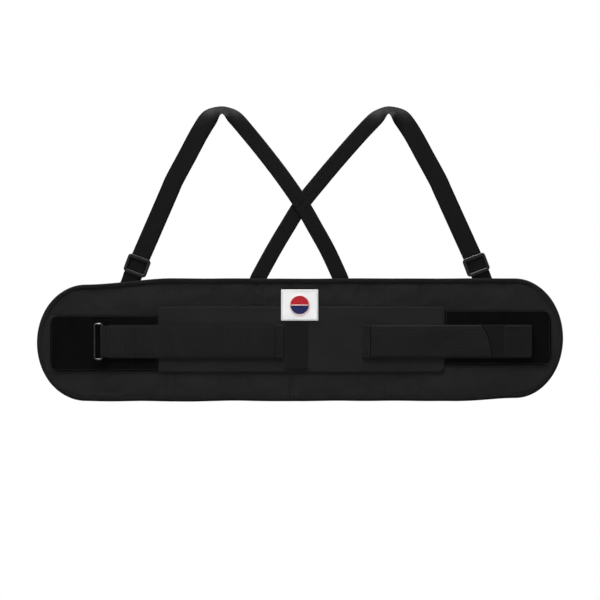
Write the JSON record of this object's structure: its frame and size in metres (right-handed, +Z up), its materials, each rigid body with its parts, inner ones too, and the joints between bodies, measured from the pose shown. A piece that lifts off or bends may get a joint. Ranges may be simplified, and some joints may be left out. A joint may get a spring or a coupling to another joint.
{
  "type": "back support belt with shoulder straps",
  "caption": "Elastic back-support work belt with rounded ends, side pull straps, pile patches, flexible stays and shoulder straps crossed at the back with slide adjusters.",
  "frame": {"origin": "the hanging point midway between the two shoulder turns of the straps, on the belt's middle plane", "axes": "+X along the belt to the right as seen from its outer face, +Y through the belt to the wearer's side, +Z up"},
  "size_m": [0.868, 0.026, 0.4879],
  "materials": {
    "elastic": "matte ribbed woven elastic",
    "strap_elastic": "matte fine ribbed elastic",
    "lining": "matte air-mesh knit",
    "binding": "satin grosgrain tape",
    "pile": "matte looped pile",
    "hook": "satin hook tape",
    "webbing": "satin woven webbing",
    "label_cloth": "satin woven label",
    "emblem_thread": "satin embroidery",
    "stay_plastic": "matte",
    "slider_plastic": "gloss moulded",
    "ring_metal": "satin black paint"
  },
  "bodies": {
    "suspenders": {"suspender_left": "webbing", "suspender_right": "webbing", "left_webbing_return": "webbing", "right_webbing_return": "webbing"},
    "back_panel": {"outer_panel": "elastic", "inner_lining": "lining", "top_binding": "binding", "bottom_binding": "binding", "middle_band": "elastic", "left_pile_inner": "pile", "right_pile_inner": "pile", "stay_1": "stay_plastic", "stay_2": "stay_plastic", "stay_3": "stay_plastic", "stay_4": "stay_plastic", "stay_5": "stay_plastic", "stay_6": "stay_plastic", "centre_tape": "binding", "label": "label_cloth", "label_emblem": "emblem_thread", "left_strap_base": "elastic", "right_strap_base": "elastic", "back_anchor_left": "webbing", "back_anchor_right": "webbing", "front_anchor_left": "webbing", "front_anchor_right": "webbing"},
    "left_end": {"left_outer_panel": "elastic", "left_lining": "lining", "left_binding": "binding", "left_pile_outer": "pile", "closure_hook_patch": "hook"},
    "right_end": {"right_outer_panel": "elastic", "right_lining": "lining", "right_binding": "binding", "right_pile_outer": "pile"},
    "left_strap": {"left_side_strap": "strap_elastic", "left_strap_hook": "hook", "left_strap_loop": "strap_elastic"},
    "ring": {"left_ring": "ring_metal"},
    "right_strap": {"right_side_strap": "strap_elastic", "right_hook_tab": "hook", "right_pull_tab": "strap_elastic", "right_strap_hook": "hook"},
    "left_adjuster": {"left_slider": "slider_plastic"},
    "right_adjuster": {"right_slider": "slider_plastic"}
  },
  "joints": [
    {"name": "belt_swing", "type": "hinge", "parent": "suspenders", "child": "back_panel", "pos_m": [0, 0.0007, -0.271], "axis": [1, 0, 0], "range_deg": [-100, 100]},
    {"name": "left_fold", "type": "hinge", "parent": "back_panel", "child": "left_end", "pos_m": [-0.322, 0.0051, -0.3765], "axis": [0, 0, 1], "range_deg": [-120, 0]},
    {"name": "right_fold", "type": "hinge", "parent": "back_panel", "child": "right_end", "pos_m": [0.322, 0.0051, -0.3765], "axis": [0, 0, 1], "range_deg": [0, 120]},
    {"name": "left_peel", "type": "hinge", "parent": "back_panel", "child": "left_strap", "pos_m": [-0.0412, -0.0065, -0.3795], "axis": [0, 0, 1], "range_deg": [0, 150]},
    {"name": "right_peel", "type": "hinge", "parent": "back_panel", "child": "right_strap", "pos_m": [0.117, -0.0065, -0.3795], "axis": [0, 0, 1], "range_deg": [-150, 0]},
    {"name": "ring_flip", "type": "hinge", "parent": "left_strap", "child": "ring", "pos_m": [-0.3265, -0.0069, -0.3795], "axis": [0, 0, 1], "range_deg": [0, 165]},
    {"name": "left_adjust", "type": "slide", "parent": "suspenders", "child": "left_adjuster", "axis": [0.3987, 0, 0.9171], "range_m": [0, 0.11]},
    {"name": "right_adjust", "type": "slide", "parent": "suspenders", "child": "right_adjuster", "axis": [-0.4123, 0, 0.911], "range_m": [0, 0.11]}
  ]
}
